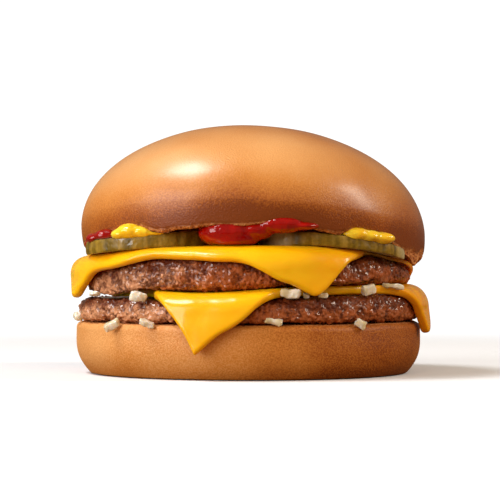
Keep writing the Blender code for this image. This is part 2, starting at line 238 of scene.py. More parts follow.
def smooth_step(value, start, end):
    share = np.clip((value - start) / (end - start), 0.0, 1.0)
    return share * share * (3.0 - 2.0 * share)


def together(*values):
    """Values side by side along a last axis, as the parts of points or the rows of a profile."""
    return np.stack(np.broadcast_arrays(*values), axis=-1)


def directions(angles):
    """Unit vectors in plan for angles round the burger."""
    return together(np.sin(angles), -np.cos(angles))


def eased(value, rows, steps):
    """What rows of (place, height) give at a value, with their corners eased over a few steps."""
    places, heights = np.array(rows).T
    return sum(np.interp(value + step, places, heights) for step in steps) / len(steps)


def unevenness(points, size, seed):
    """Smooth random values from about -1 to 1 that change over a distance of size."""
    away = Vector((17.3, 5.1, 9.7)) * seed
    flat = points.reshape(-1, 3) / size
    return np.array([noise.noise(Vector(point) + away) for point in flat]).reshape(points.shape[:-1])


def lower_lift(x, y):
    """How far the layers on the lower patty lean up to the right and sag at the hanging front corner."""
    across, along = x - LOWER_SAG_PLACE[0], y - LOWER_SAG_PLACE[1]
    sag = LOWER_SAG * np.exp(-(across**2 + along**2) / (2.0 * LOWER_SAG_WIDTH**2))
    return LOWER_LEAN * x / BUN_RADIUS - sag


def heel_top(x, y):
    """Where the lower patty lies on the heel: level all over."""
    return HEEL_HEIGHT + GAP + 0.0 * x


def arch_fall(y):
    """How far the upper cheese's arch falls towards the front and the back."""
    return ARCH_FALL * ((y - ARCH_HIGHEST_Y) / ARCH_DEPTH) ** 2


def upper_slice_top(x, y):
    """The arched top of the upper cheese, highest at the front middle and lower at both sides."""
    side = x / ARCH_HALF
    return CHEESE_PEAK - 2.9 * side**2 - 0.6 * side - arch_fall(y)


def cheese_top(x, y):
    """The top of the upper cheese as it melted: flat in the middle, and falling away at both sides."""
    side = np.abs(x) / ARCH_HALF
    arch = np.where(x < 0.0, 2.3 * side**2.4, 4.3 * side**3.4)
    return CHEESE_PEAK + 0.35 - arch - arch_fall(y)


def slice_outline(shape, share):
    """Points on the outline of a flat slice, at shares of the way round it from its front corner."""
    side = np.floor(4.0 * share).astype(int) % 4
    along = 2.0 * (4.0 * share - np.floor(4.0 * share)) - 1.0
    along = 0.8 * along + 0.2 * np.sin(0.5 * math.pi * along)
    rounding = (1.0 + np.abs(along) ** SLICE_CORNER) ** (-1.0 / SLICE_CORNER)
    near_corner = np.where(along > 0.0, side + 1, side) % 4
    moved = shape["corners"][near_corner]
    nearness = np.abs(along) ** 3
    turn = shape["turn"] + math.radians(45.0) + 0.5 * math.pi * side + nearness * moved[:, 1]
    across = along * np.cos(turn) + np.sin(turn)
    deep = along * np.sin(turn) - np.cos(turn)
    reach = shape["half"] * rounding * (1.0 - moved[:, 0] * nearness)
    reach += 0.2 * np.sin(17.0 * along + 1.0) * (1.0 - along**2)
    bearing = np.degrees(np.arctan2(across, -deep))
    melted = eased(bearing, shape["edge"], (-3.0, -1.0, 1.0, 3.0))
    out = together(across, deep)
    out_length = np.linalg.norm(out, axis=1, keepdims=True)
    return (reach[:, None] + melted[:, None] / out_length) * out + shape["middle"]


def slice_thickness(shape, x):
    """How thick a slice is: the upper one thinned as it melted over the right-hand edge."""
    return SLICE_THICKNESS * (1.0 - (1.0 - shape["thin"]) * smooth_step(x, 27.0, 34.0))


def slice_distance(shape, x, y):
    """How far points lie outside the sides of a flat slice; negative inside."""
    turn = -shape["turn"] - math.radians(45.0)
    across, deep = x - shape["middle"][0], y - shape["middle"][1]
    flat_x = across * math.cos(turn) - deep * math.sin(turn)
    flat_y = across * math.sin(turn) + deep * math.cos(turn)
    return np.maximum(np.abs(flat_x), np.abs(flat_y)) - shape["half"]


def lower_patty_top(x, y):
    return LOWER_PATTY_TOP + lower_lift(x, y)


def upper_patty_bottom(x, y):
    """The underside of the upper patty, which lies on the lower slice and sags past its edges."""
    sag = 2.9 * smooth_step(slice_distance(LOWER_SLICE, x, y), 0.9, 4.2)
    return lower_patty_top(x, y) + SLICE_THICKNESS + 2.0 * GAP - sag


def upper_patty_top(x, y):
    return cheese_top(x, y) - slice_thickness(UPPER_SLICE, x) - GAP


def lower_patty_rim(angle):
    """The uneven outline of the lower patty."""
    wave = 0.5 * np.sin(2.0 * angle + 0.4) + 0.35 * np.sin(5.0 * angle + 1.0)
    return LOWER_PATTY_RADIUS + wave + 0.25 * np.sin(9.0 * angle)


def upper_patty_rim(angle):
    """The uneven outline of the upper patty, a little wider than it is deep and flatter at the back."""
    wave = 0.35 * np.sin(5.0 * angle + 2.2) + 0.25 * np.sin(8.0 * angle + 0.7)
    return UPPER_PATTY_RADIUS + wave - 0.7 * np.cos(2.0 * angle) - (1.0 - np.cos(angle))


def crown_plane(x, y):
    """The plane of the cut under the tilted crown."""
    rim_middle = CROWN_CENTRE[2] - CROWN_WALL
    return rim_middle - math.tan(CROWN_TILT) * (y - CROWN_CENTRE[1]) - math.tan(CROWN_ROLL) * x


def pickle_cover(x, y, start, end):
    """1 over the pickle slices and up to start outside their outlines, then falling to 0 at end."""
    away = []
    for pickle in PICKLES.values():
        across, along = x - pickle["middle"][0], y - pickle["middle"][1]
        turn, half = pickle["turn"], pickle["half"]
        flat_x = (across * math.cos(turn) + along * math.sin(turn)) / half[0]
        flat_y = (along * math.cos(turn) - across * math.sin(turn)) / half[1]
        away.append((np.hypot(flat_x, flat_y) - 1.0) * half[1])
    return 1.0 - smooth_step(np.minimum(*away), start, end)


def sauce_floor(space, x, y):
    """The height on which a sauce lies: the cheese, or the pickle slice on it."""
    floor = upper_slice_top(x, y) + GAP
    return floor + PICKLE_THICKNESS + GAP if space["on_pickle"] else floor


def pickle_thickness(x):
    """How thick the slices are: they are cut a little thicker towards the middle of the burger."""
    places = (-45.0, -30.0, -25.0, -16.0, 8.0, 16.0, 24.0, 41.0)
    return np.interp(x, places, (3.8, 3.5, 3.7, 4.5, 4.2, 3.8, 3.3, 3.1))


def sauce_dome(space, x, y):
    """How far the room for a pressed-out sauce rises over its floor; 0 outside its outline."""
    across = (x - space["middle"][0]) / (SAUCE_ROOM * space["half"][0])
    along = (y - space["middle"][1]) / (SAUCE_ROOM * space["half"][1])
    return space["thick"] * np.maximum(1.0 - across**2 - along**2, 0.0) ** 0.4


def crown_rest(x, y):
    """The lowest height the crown can have over the cheese, the pickles and the sauces."""
    rest = cheese_top(x, y) + 2.0 * GAP + (pickle_thickness(x) + GAP) * pickle_cover(x, y, 3.5, 9.0)
    for space in SAUCE_SPACE.values():
        dome = sauce_dome(space, x, y)
        top = sauce_floor(space, x, y) + dome + 1.5 * GAP
        rest = np.where(dome > 0.0, np.maximum(rest, top), rest)
    return rest


def crown_rim(x, y):
    """The height of the crown's rim: its tilted plane, shaped in front by what it is pressed on."""
    plane = smooth_max(crown_plane(x, y), CROWN_LOWEST, 1.6)
    front = eased(x, CROWN_FRONT, (-1.2, -0.6, 0.0, 0.6, 1.2))
    share = smooth_step(-y, 6.0, 18.0)
    return plane + share * (front - plane)


def crown_underside(x, y):
    """The soft crumb under the crown, which takes the shape of what it lies on."""
    return smooth_max(crown_plane(x, y), crown_rest(x, y), 1.0)


# ---------------------------------------------------------------- node trees


class Value:
    """A socket for use in plain expressions; each operation adds its node to the tree."""

    def __init__(self, nodes, socket):
        self.nodes = nodes
        self.socket = socket

    def maths(self, operation, *others):
        inputs = dict(enumerate((self, *others)))
        return self.nodes.add("ShaderNodeMath", {"operation": operation}, inputs)

    def __add__(self, other):
        return self.maths("ADD", other)

    __radd__ = __add__

    def __sub__(self, other):
        return self.maths("SUBTRACT", other)

    def __rsub__(self, other):
        return self * -1.0 + other

    def __mul__(self, other):
        return self.maths("MULTIPLY", other)

    __rmul__ = __mul__

    def __pow__(self, other):
        return self.maths("POWER", other)

    def rise(self, low, high):
        """0 up to low, then rising smoothly to 1 at high."""
        inputs = {"Value": self, "From Min": low, "From Max": high}
        return self.nodes.add("ShaderNodeMapRange", {"interpolation_type": "SMOOTHSTEP"}, inputs)


class Nodes:
    """Adds nodes to a tree, and gives their outputs as values."""

    def __init__(self, tree):
        self.tree = tree

    def add(self, kind, settings=None, inputs=None, output=0):
        """A node of a kind, with its settings and then the values or links of its sockets."""
        node = self.tree.nodes.new(kind)
        settings = dict(settings or {})
        stops = settings.pop("stops", [])
        for name, value in settings.items():
            setattr(node, name, value)
        if stops:
            elements = node.color_ramp.elements
            while len(elements) < len(stops):
                elements.new(0.5)
            for element, (place, colour) in zip(elements, stops):
                element.position = place
                element.color = colour
        for key, value in (inputs or {}).items():
            if isinstance(value, Value):
                self.tree.links.new(value.socket, node.inputs[key])
            else:
                node.inputs[key].default_value = value
        return Value(self, node.outputs[output])

    def attribute(self, name):
        return self.add("ShaderNodeAttribute", {"attribute_name": name}, output="Fac")

    def place(self):
        return self.add("ShaderNodeTexCoord", output="Object")

    def noise(self, size, detail=2.0, place=None):
        """Cloudy noise whose patches are about a size in millimetres."""
        inputs = {"Vector": place or self.place(), "Scale": 1.0 / (size * MM), "Detail": detail}
        return self.add("ShaderNodeTexNoise", None, inputs)

    def cells(self, size):
        """Distances from the middles of cells that are about a size in millimetres."""
        inputs = {"Vector": self.place(), "Scale": 1.0 / (size * MM)}
        return self.add("ShaderNodeTexVoronoi", None, inputs)

    def vector(self, operation, first, second=None, scale=None, output=0):
        """Maths on a vector, with a second one or a plain number where the operation takes it."""
        inputs = {0: first, 1: second, "Scale": scale}
        inputs = {key: value for key, value in inputs.items() if value is not None}
        return self.add("ShaderNodeVectorMath", {"operation": operation}, inputs, output)

    def blend(self, share, first, second):
        """A colour that goes from the first to the second as share goes from 0 to 1."""
        return self.add("ShaderNodeMix", {"data_type": "RGBA"}, {0: share, 6: first, 7: second}, 2)

    def ramp(self, value, *stops):
        return self.add("ShaderNodeValToRGB", {"stops": stops}, {"Fac": value})

    def bump(self, height):
        """The bent normal for a relief whose height is given in millimetres."""
        return self.add("ShaderNodeBump", None, {"Strength": 1.0, "Distance": MM, "Height": height})


def started_tree(name, inputs):
    """A tree for a modifier, with named number inputs: its nodes, and its inputs as values."""
    tree = bpy.data.node_groups.new(name, "GeometryNodeTree")
    tree.interface.new_socket("Geometry", in_out="INPUT", socket_type="NodeSocketGeometry")
    for socket in inputs:
        tree.interface.new_socket(socket, in_out="INPUT", socket_type="NodeSocketFloat")
    tree.interface.new_socket("Geometry", in_out="OUTPUT", socket_type="NodeSocketGeometry")
    nodes = Nodes(tree)
    entry = tree.nodes.new("NodeGroupInput")
    return nodes, {socket: Value(nodes, entry.outputs[socket]) for socket in ("Geometry", *inputs)}


def finished_tree(nodes, shape, finish_used):
    """The tree, ended with its shape made real and given its finish."""
    real = nodes.add("GeometryNodeRealizeInstances", None, {"Geometry": shape})
    painted = nodes.add("GeometryNodeSetMaterial", None, {"Geometry": real, "Material": finish_used})
    leave = nodes.tree.nodes.new("NodeGroupOutput")
    nodes.tree.links.new(painted.socket, leave.inputs["Geometry"])
    return nodes.tree


def colour(red, green, blue):
    """A colour of 0 to 255 as shown, in the light values that shaders use."""
    shown = [part / 255.0 for part in (red, green, blue)]
    light = [part / 12.92 if part <= 0.04045 else ((part + 0.055) / 1.055) ** 2.4 for part in shown]
    return (*light, 1.0)


def finish(name, paint, constants):
    """A material: constants stay on the shader's own sockets, and paint gives what varies."""
    made = bpy.data.materials.new(name)
    made.use_nodes = True
    shader = made.node_tree.nodes["Principled BSDF"]
    for socket, value in constants.items():
        shader.inputs[socket].default_value = value
    for socket, value in paint(Nodes(made.node_tree)).items():
        made.node_tree.links.new(value.socket, shader.inputs[socket])
    return made


# ---------------------------------------------------------------- finishes


def paint_crust(nodes):
    """Golden crust, its browning mixed with painted shade and light, with a fine orange-peel grain; pale
    crumb where it is cut.
    """
    # The browning attribute read here holds real browning mixed with painted shade and painted light.
    bake = nodes.attribute("bake")
    gloss = nodes.attribute("gloss")
    patches = nodes.noise(13.0, 3.0)
    grain = nodes.noise(0.42, 2.0)
    speckle = grain.rise(0.3, 0.7)
    tone = bake + (patches - 0.5) * 0.2 + (0.5 - speckle) * (0.22 - gloss * 0.16)
    crust = nodes.ramp(
        tone,
        (0.0, colour(236, 178, 110)),
        (0.33, colour(228, 166, 102)),
        (0.62, colour(204, 129, 54)),
        (0.86, colour(167, 90, 27)),
        (1.0, colour(128, 60, 16)),
    )
    pores = nodes.cells(0.9)
    # Crumb darkest at the middles of its pores, where the bump sinks: painted shade in the pits.
    crumb = nodes.ramp(
        pores + (nodes.noise(3.0) - 0.5) * 0.8,
        (0.0, colour(104, 48, 18)),
        (0.35, colour(172, 96, 44)),
        (0.8, colour(208, 138, 78)),
    )
    cut = nodes.attribute("cut")
    height = (grain - 0.5) * 0.16 + (nodes.noise(1.7) - 0.5) * 0.04 + cut * pores * 0.5
    rough = 0.48 + (patches - 0.5) * 0.1 - gloss * 0.12 - speckle * 0.06 + cut * 0.3
    return {
        "Base Color": nodes.blend(cut, crust, crumb),
        "Roughness": rough,
        "Coat Weight": gloss * (1.0 - cut) * 0.8,
        "Normal": nodes.bump(height),
    }


def paint_beef(nodes):
    """Seared meat: dark reddish brown above, tan and pinkish below; painted shade in its hollows and to the
    right.
    """
    hollow = nodes.attribute("hollow")
    height = nodes.attribute("height")
    across = nodes.add("ShaderNodeSeparateXYZ", None, {"Vector": nodes.place()})
    patches = nodes.noise(6.0, 3.0)
    spots = nodes.noise(1.6, 3.0)
    fine = nodes.noise(0.6, 2.0)
    # Random browning in patches, and browner towards the right: painted shade on the right, painted light
    # on the paler left.
    browned = (patches * 0.5 + spots * 0.3 + across.rise(-0.036, 0.0) * 0.4).rise(0.40, 0.66)
    meat = nodes.blend(browned, colour(210, 146, 104), colour(168, 88, 43))
    sear = (height + (patches - 0.5) * 0.8 + (spots - 0.5) * 0.7).rise(0.38, 1.0)
    meat = nodes.blend(sear, meat, colour(100, 42, 14))
    # Darkest in the furrows of the relief as painted shade, with random dark spots and grains.
    dark = (hollow * 0.9 + (spots - 0.5) * 0.7 + (fine - 0.5) * 1.2).rise(0.3, 0.85) * 0.8
    meat = nodes.blend(dark, meat, colour(74, 22, 4))
    relief = (nodes.noise(0.9, 0.0) - 0.5) * 0.6 + (fine - 0.5) * 0.16
    wet = nodes.noise(2.0, 1.0).rise(0.42, 0.55) * (1.0 - dark * 0.6)
    return {
        "Base Color": meat,
        "Roughness": 0.6 - fine * 0.2,
        "Coat Weight": wet,
        "Normal": nodes.bump(relief),
    }


def paint_cheese(nodes):
    """Smooth soft orange-yellow cheese, a little paler in clouds, and deeper orange to the right as painted
    shade.
    """
    clouds = nodes.noise(16.0, 2.0)
    fine = nodes.noise(1.1, 2.0)
    across = nodes.add("ShaderNodeSeparateXYZ", None, {"Vector": nodes.place()})
    pale = nodes.blend(clouds.rise(0.35, 0.7), colour(253, 180, 5), colour(254, 194, 16))
    # Deeper orange towards the right: painted shade on the side turned from the lamps.
    slice_tone = nodes.blend(across.rise(0.012, 0.046), pale, colour(252, 168, 5))
    height = (nodes.noise(7.0, 1.0) - 0.5) * 0.65
    rough = 0.22 + (clouds - 0.5) * 0.1 + (fine - 0.5) * 0.06
    return {"Base Color": slice_tone, "Roughness": rough, "Normal": nodes.bump(height)}


def paint_pickle(nodes):
    """Olive skin with upright streaks, and paler wet flesh on the cut faces, partly painted light."""
    skin = nodes.attribute("skin")
    upright = nodes.add("ShaderNodeMapping", None, {"Vector": nodes.place(), "Scale": (1.0, 1.0, 0.12)})
    streaks = nodes.noise(2.2, 3.0, upright)
    fine = nodes.noise(0.8, 2.0)
    green = nodes.ramp(
        streaks + (fine - 0.5) * 0.25,
        (0.3, colour(92, 72, 8)),
        (0.5, colour(126, 98, 14)),
        (0.7, colour(160, 126, 40)),
    )
    # Pale flesh, kept paler partly as painted light where it shows at the bare ends of the right-hand
    # slice.
    flesh = nodes.blend(fine, colour(206, 190, 136), colour(240, 228, 184))
    height = (streaks - 0.5) * 0.22 + (fine - 0.5) * 0.05 + (nodes.noise(2.6) - 0.5) * 0.55
    return {
        "Base Color": nodes.blend(skin, flesh, green),
        "Roughness": 0.34 + fine * 0.2,
        "Coat Weight": nodes.noise(1.7, 1.0).rise(0.48, 0.6),
        "Normal": nodes.bump(height),
    }


def paint_sauce(deep, light):
    """Smooth, wet, glossy sauce in clouds of a deeper and a lighter tone."""

    def paint(nodes):
        clouds = nodes.noise(4.0, 2.0)
        fine = nodes.noise(0.9, 2.0)
        height = (nodes.noise(2.2, 1.0) - 0.5) * 0.4 + (fine - 0.5) * 0.02
        rough = 0.07 + (fine - 0.5) * 0.05
        tone = nodes.blend(clouds.rise(0.35, 0.7), deep, light)
        return {"Base Color": tone, "Roughness": rough, "Normal": nodes.bump(height)}

    return paint


def paint_onion(nodes):
    """Pale, wet and slightly translucent, from white to yellow-green."""
    clouds = nodes.noise(3.5, 2.0)
    fibres = nodes.noise(0.7, 2.0)
    tone = nodes.blend(clouds.rise(0.4, 0.65), colour(238, 229, 214), colour(212, 196, 158))
    height = (fibres - 0.5) * 0.2
    rough = 0.1 + (fibres - 0.5) * 0.14
    return {"Base Color": tone, "Roughness": rough, "Normal": nodes.bump(height)}


def soft(weight, red, green, blue, depth):
    """The shader's constants for a surface that lets some light in, to a depth in millimetres."""
    return {
        "Subsurface Weight": weight,
        "Subsurface Radius": (red, green, blue),
        "Subsurface Scale": depth * MM,
    }


CRUST = finish("bun_crust", paint_crust, {"Specular IOR Level": 0.3, "Coat Roughness": 0.27})
BEEF = finish("seared_beef", paint_beef, {"Specular IOR Level": 0.2, "Coat Roughness": 0.05})
CHEESE = finish(
    "processed_cheese", paint_cheese, soft(0.4, 1.0, 0.55, 0.1, 2.5) | {"Specular IOR Level": 0.38}
)
PICKLE = finish("pickle", paint_pickle, {"Specular IOR Level": 0.3, "Coat Roughness": 0.04})
KETCHUP = finish(
    "ketchup", paint_sauce(colour(140, 4, 2), colour(166, 10, 3)), soft(0.1, 1.0, 0.15, 0.1, 1.0)
)
MUSTARD = finish(
    "mustard", paint_sauce(colour(250, 192, 22), colour(252, 216, 54)), soft(0.2, 1.0, 0.6, 0.1, 1.5)
)
ONION = finish("diced_onion", paint_onion, soft(0.6, 1.0, 0.85, 0.6, 1.8))


# ---------------------------------------------------------------- meshes and pieces


def link(name, mesh):
    piece = bpy.data.objects.new(name, mesh)
    bpy.context.scene.collection.objects.link(piece)
    return piece


def closed_mesh(name, rings, finish_used, **attributes):
    """A closed mesh from rings of points in millimetres, from its top down its outer side to its base.

    The first and the last ring have shrunk to one point each. Attributes hold a value for each point.
    """
    ring_count, columns = rings.shape[:2]
    inner = rings[1:-1].reshape(-1, 3)
    points = (np.vstack((rings[0, :1], inner, rings[-1, :1])) + BURGER_SHIFT) * MM
    start = 1 + columns * np.arange(ring_count - 2)[:, None]
    here = start + np.arange(columns)[None, :]
    after = start + (np.arange(columns)[None, :] + 1) % columns
    quads = np.stack((here[:-1], here[1:], after[1:], after[:-1]), axis=-1).reshape(-1, 4)
    last = len(points) - 1
    top = [(0, int(a), int(b)) for a, b in zip(here[0], after[0])]
    base = [(last, int(b), int(a)) for a, b in zip(here[-1], after[-1])]
    mesh = bpy.data.meshes.new(name)
    mesh.from_pydata(points.tolist(), [], top + quads.tolist() + base)
    for label, values in attributes.items():
        flat = np.concatenate((values[0, :1], values[1:-1].ravel(), values[-1, :1]))
        attribute = mesh.attributes.new(label, "FLOAT", "POINT")
        attribute.data.foreach_set("value", flat.astype(np.float32))
    mesh.materials.append(finish_used)
    mesh.shade_smooth()
    return mesh


def even_angles(columns):
    """Angles at equal steps all round."""
    return np.arange(columns) * math.tau / columns


def turned(profile, columns, centre):
    """Rings of points turned round a centre in plan from a profile of (radius, height) rows."""
    plan = directions(even_angles(columns))[None] * profile[:, None, :1] + centre
    heights = np.broadcast_to(profile[:, None, 1:], (len(profile), columns, 1))
    return np.concatenate((plan, heights), axis=-1)


def settle(piece):
    """Turns a piece's modifiers into a plain mesh, and removes them."""
    bpy.context.view_layer.update()
    graph = bpy.context.evaluated_depsgraph_get()
    mesh = bpy.data.meshes.new_from_object(
        piece.evaluated_get(graph), preserve_all_data_layers=True, depsgraph=graph
    )
    piece.modifiers.clear()
    piece.data = mesh
    mesh.name = piece.name
    mesh.shade_smooth()


def belongs(piece, slot, *nodes):
    """The piece moves with the burger and stands for its solids; the slot is not used."""
    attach(piece, "root")
    if nodes:
        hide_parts(*nodes)


# ---------------------------------------------------------------- bun


def heel_profile():
    """Rows of (radius, height): the cut face, a rounded shoulder, an upright side and a tucked-in foot."""
    face = together(np.linspace(0.0, 0.96, HEEL_FACE_ROWS) * BUN_RADIUS, HEEL_HEIGHT)
    arc = np.linspace(0.0, 0.5 * math.pi, 12)
    shoulder = together(
        BUN_RADIUS - HEEL_SHOULDER * (1.0 - np.sin(arc)), HEEL_HEIGHT - HEEL_SHOULDER * (1.0 - np.cos(arc))
    )
    upright = together(BUN_RADIUS, np.linspace(HEEL_HEIGHT - HEEL_SHOULDER, HEEL_FOOT_RISE, 7)[1:-1])
    fall = 1.0 - (1.0 - np.linspace(0.0, 1.0, 40)) ** 1.3
    tucked = BUN_RADIUS - (BUN_RADIUS - HEEL_FOOT_RADIUS) * fall**2.6
    side = together(tucked, HEEL_FOOT_EDGE + (HEEL_FOOT_RISE - HEEL_FOOT_EDGE) * (1.0 - fall))
    foot = together(HEEL_FOOT_RADIUS - np.array((0.25, 0.7, 1.4)), (0.1, 0.02, 0.0))
    base = together(foot[-1, 0] * (1.0 - np.linspace(0.0, 1.0, 26)[1:]), 0.0)
    return np.vstack((face, shoulder, upright, side, foot, base))


def make_heel():
    """The heel: crust over its side and base, and crumb on its cut face, a little uneven all over."""
    profile = heel_profile()
    rings = turned(profile, HEEL_COLUMNS, HEEL_CENTRE)
    outward = rings[..., :2] - HEEL_CENTRE
    angle = np.arctan2(outward[..., 0], -outward[..., 1])
    swell = 1.005 + 0.004 * np.sin(3.0 * angle + 0.6) + 0.005 * unevenness(rings, 15.0, 3)
    rings[..., :2] = outward * swell[..., None] + HEEL_CENTRE
    on_side = smooth_step(profile[:, 0], 0.9 * BUN_RADIUS, BUN_RADIUS)[:, None]
    rings[..., 2] -= 0.25 * on_side * (1.0 + unevenness(rings, 7.0, 5)) * (profile[:, 1:] / HEEL_HEIGHT)
    cut = np.zeros(rings.shape[:2])
    cut[:HEEL_CUT_ROWS] = 1.0
    # Browner to the right and near the foot: painted shade there, mixed with real browning.
    low = 1.0 - smooth_step(rings[..., 2], 0.0, 4.5)
    bake = 0.48 + 0.42 * smooth_step(rings[..., 0], -20.0, 40.0) + 0.12 * low
    bake += 0.1 * unevenness(rings, 12.0, 8)
    mesh = closed_mesh("heel_crust", rings, CRUST, cut=cut, bake=bake, gloss=np.zeros_like(cut))
    belongs(link("heel_crust", mesh), "bun_crust", "bun_heel")


def crown_low_rows():
    """Below the dome: rows of a radius, a share of the way down to the rim, and a share of crumb."""
    rim = CROWN_RADIUS - CROWN_WALL_INSET
    inner = rim - CROWN_LIP
    down = np.linspace(0.0, 1.0, CROWN_RIM_ROW - CROWN_DOME_ROWS + 1)[1:]
    wall = [(CROWN_RADIUS - CROWN_WALL_INSET * share**2, share, 0.0) for share in down]
    lip = [
        (rim - CROWN_LIP * (1.0 - math.cos(turn)), 1.0 + 0.5 * math.sin(turn) / CROWN_WALL, 0.0)
        for turn in np.linspace(0.0, 0.5 * math.pi, 8)[1:]
    ]
    under = [(inner - 0.5 * step, 1.0, smooth_step(0.5 * step, 0.0, 3.0)) for step in range(1, 8)]
    under += [((inner - 3.5) * share, 1.0, 1.0) for share in np.linspace(1.0, 0.0, 34)[1:]]
    return np.array(wall + lip + under)


def crown_rings():
    """The tilted dome, the wall and the lip down to the rim, and the underside, as rings of points."""
    tilt = np.array(Matrix.Rotation(-CROWN_TILT, 3, "X") @ Matrix.Rotation(CROWN_ROLL, 3, "Y"))
    arc = np.linspace(0.0, 0.5 * math.pi, CROWN_DOME_ROWS)
    dome = together(CROWN_RADIUS * np.sin(arc), CROWN_DOME * np.cos(arc))
    low_rows = crown_low_rows()
    profile = np.vstack((dome, together(low_rows[:, 0], 0.0)))
    rings = turned(profile, CROWN_COLUMNS, np.zeros(2)) @ tilt.T + CROWN_CENTRE
    low = rings[CROWN_DOME_ROWS:]
    x, y = low[..., 0], low[..., 1]
    down, crumb = low_rows[:, 1:2], low_rows[:, 2:]
    held = low[..., 2] + down * (crown_rim(x, y) - low[..., 2])
    low[..., 2] = (1.0 - crumb) * held + crumb * crown_underside(x, y)
    return rings


def crown_peeling(rings):
    """1 where the crust is torn off a little above the rim, most at the right-hand end."""
    x, y, height = rings[..., 0], rings[..., 1], rings[..., 2]
    bare = np.interp(x, (42.0, 44.0, 46.2, 48.5, 50.0), (0.0, 0.8, 3.0, 2.4, 1.8))
    bare = bare * (1.0 - smooth_step(y, -2.0, 12.0)) + 0.25 + 0.35 * unevenness(rings, 4.0, 7)
    peeled = 1.0 - smooth_step(height - crown_rim(x, y) - bare, -0.25, 0.15)
    peeled[:CROWN_DOME_ROWS] = 0.0
    return peeled


def crown_bake(rings, turn_down):
    """How brown the crust is, mixed with painted shade and light: palest half-way down on the left, darkest
    on the top and at the rim.
    """
    x = rings[..., 0]
    # Paler on both sides, most on the left: painted light where the side lamps fall.
    aside = smooth_step(-x, 8.0, 42.0) + 0.5 * smooth_step(x, 12.0, 42.0)
    # Darkest on the top, palest half-way down: real browning and painted shade.
    top = 0.9 - 0.5 * smooth_step(turn_down, 0.05, 0.68)
    # Darker on the upper right and at the right-hand end: painted shade, partly real browning.
    right = 0.3 * smooth_step(x, 4.0, 44.0) * (1.0 - smooth_step(turn_down, 0.5, 1.0))
    right_end = 0.2 * smooth_step(x, 36.0, 49.0)
    # Darker towards the rim: partly real browning, partly painted shade on the downward-facing crust, less
    # on the lit sides.
    rim = (0.72 - 0.22 * aside) * smooth_step(turn_down, 0.7, 1.18)
    return top + right + right_end + rim + 0.1 * unevenness(rings, 14.0, 2)


def make_crown():
    """The crown: crust over the dome and down to the rim, and torn crumb under it."""
    rings = crown_rings()
    away = rings - CROWN_CENTRE
    away /= np.maximum(np.linalg.norm(away, axis=-1, keepdims=True), 1.0)
    swell = 0.28 * unevenness(rings, 17.0, 1)
    swell[CROWN_RIM_ROW:] = 0.0
    rings += away * swell[..., None]
    cut = np.zeros(rings.shape[:2])
    cut[CROWN_CUT_ROW:] = 1.0
    torn = cut * (0.35 * unevenness(rings, 2.2, 4) + 0.3 * unevenness(rings, 0.9, 6))
    rings[..., 2] += np.maximum(torn, -0.2)
    peeled = crown_peeling(rings)
    ragged = 0.7 * unevenness(rings, 1.7, 9) - 0.5
    rings += away * (peeled * (1.0 - cut) * ragged)[..., None]
    cut = np.maximum(cut, peeled)
    turn_down = np.clip(np.arange(len(rings)) / CROWN_DOME_ROWS, 0.0, 1.6)[:, None]
    bake = crown_bake(rings, turn_down)
    gloss = (1.0 - 0.6 * smooth_step(turn_down, 0.76, 1.0)) * np.ones_like(cut)
    mesh = closed_mesh("crown_crust", rings, CRUST, cut=cut, bake=bake, gloss=gloss)
    belongs(link("crown_crust", mesh), "bun_crust", "bun_crown")


# ---------------------------------------------------------------- meat


def patty_relief():
    """A tree that turns a smooth surface into packed, coarsely minced meat.

    Inputs, in metres: the size of the lumps and of the grains in them, how deep the furrows round
    each are, and how far the rim swells; and a seed. The attribute rim is 1 where the relief is
    full. The depth of the furrows is kept as the attribute hollow.
    """
    nodes, given = started_tree("minced_meat", (*MEAT_RELIEF, "Seed"))
    moved = nodes.vector("ADD", nodes.add("GeometryNodeInputPosition"), given["Seed"])

    def cloud(scale, detail, output="Fac"):
        inputs = {"Vector": moved, "Scale": scale, "Detail": detail}
        return nodes.add("ShaderNodeTexNoise", None, inputs, output)

    warp = nodes.vector("SCALE", cloud(330.0, 3.0, "Color"), scale=0.0042)
    warped = nodes.vector("ADD", moved, warp)

    def furrows(size, width):
        inputs = {"Vector": warped, "Scale": size ** -1.0}
        edges = nodes.add("ShaderNodeTexVoronoi", {"feature": "DISTANCE_TO_EDGE"}, inputs)
        return 1.0 - edges.rise(0.0, width)

    mask = cloud(210.0, 1.0).rise(0.38, 0.62)
    lumps = furrows(given["Lump Size"], 0.4) * (mask * 0.8 + 0.2)
    grains = furrows(given["Grain Size"], 0.5)
    crumbs = cloud(900.0, 3.0) - 0.5
    swell = (cloud(230.0, 2.0) - 0.5) * given["Lump Depth"] * 1.6
    depth = lumps * given["Lump Depth"] + (grains - crumbs * 2.2) * given["Grain Depth"] - swell
    rim = nodes.add("GeometryNodeInputNamedAttribute", {"data_type": "FLOAT"}, {"Name": "rim"})
    reach = rim * (given["Swell"] - depth)
    offset = nodes.vector("SCALE", nodes.add("GeometryNodeInputNormal"), scale=reach)
    inputs = {"Geometry": given["Geometry"], "Offset": offset}
    shaped = nodes.add("GeometryNodeSetPosition", None, inputs)
    hollow = lumps * 0.7 + grains * 0.3 - crumbs
    kept = nodes.add(
        "GeometryNodeStoreNamedAttribute",
        {"data_type": "FLOAT", "domain": "POINT"},
        {"Geometry": shaped, "Name": "hollow", "Value": hollow},
    )
    return finished_tree(nodes, kept, BEEF)


def grow(piece, tree, values):
    """Runs a node tree on a piece, with its named inputs set, and keeps the result as a plain mesh."""
    modifier = piece.modifiers.new("grow", "NODES")
    modifier.node_group = tree
    for item in tree.interface.items_tree:
        if item.in_out == "INPUT" and item.name in values:
            modifier[item.identifier] = values[item.name]
    settle(piece)


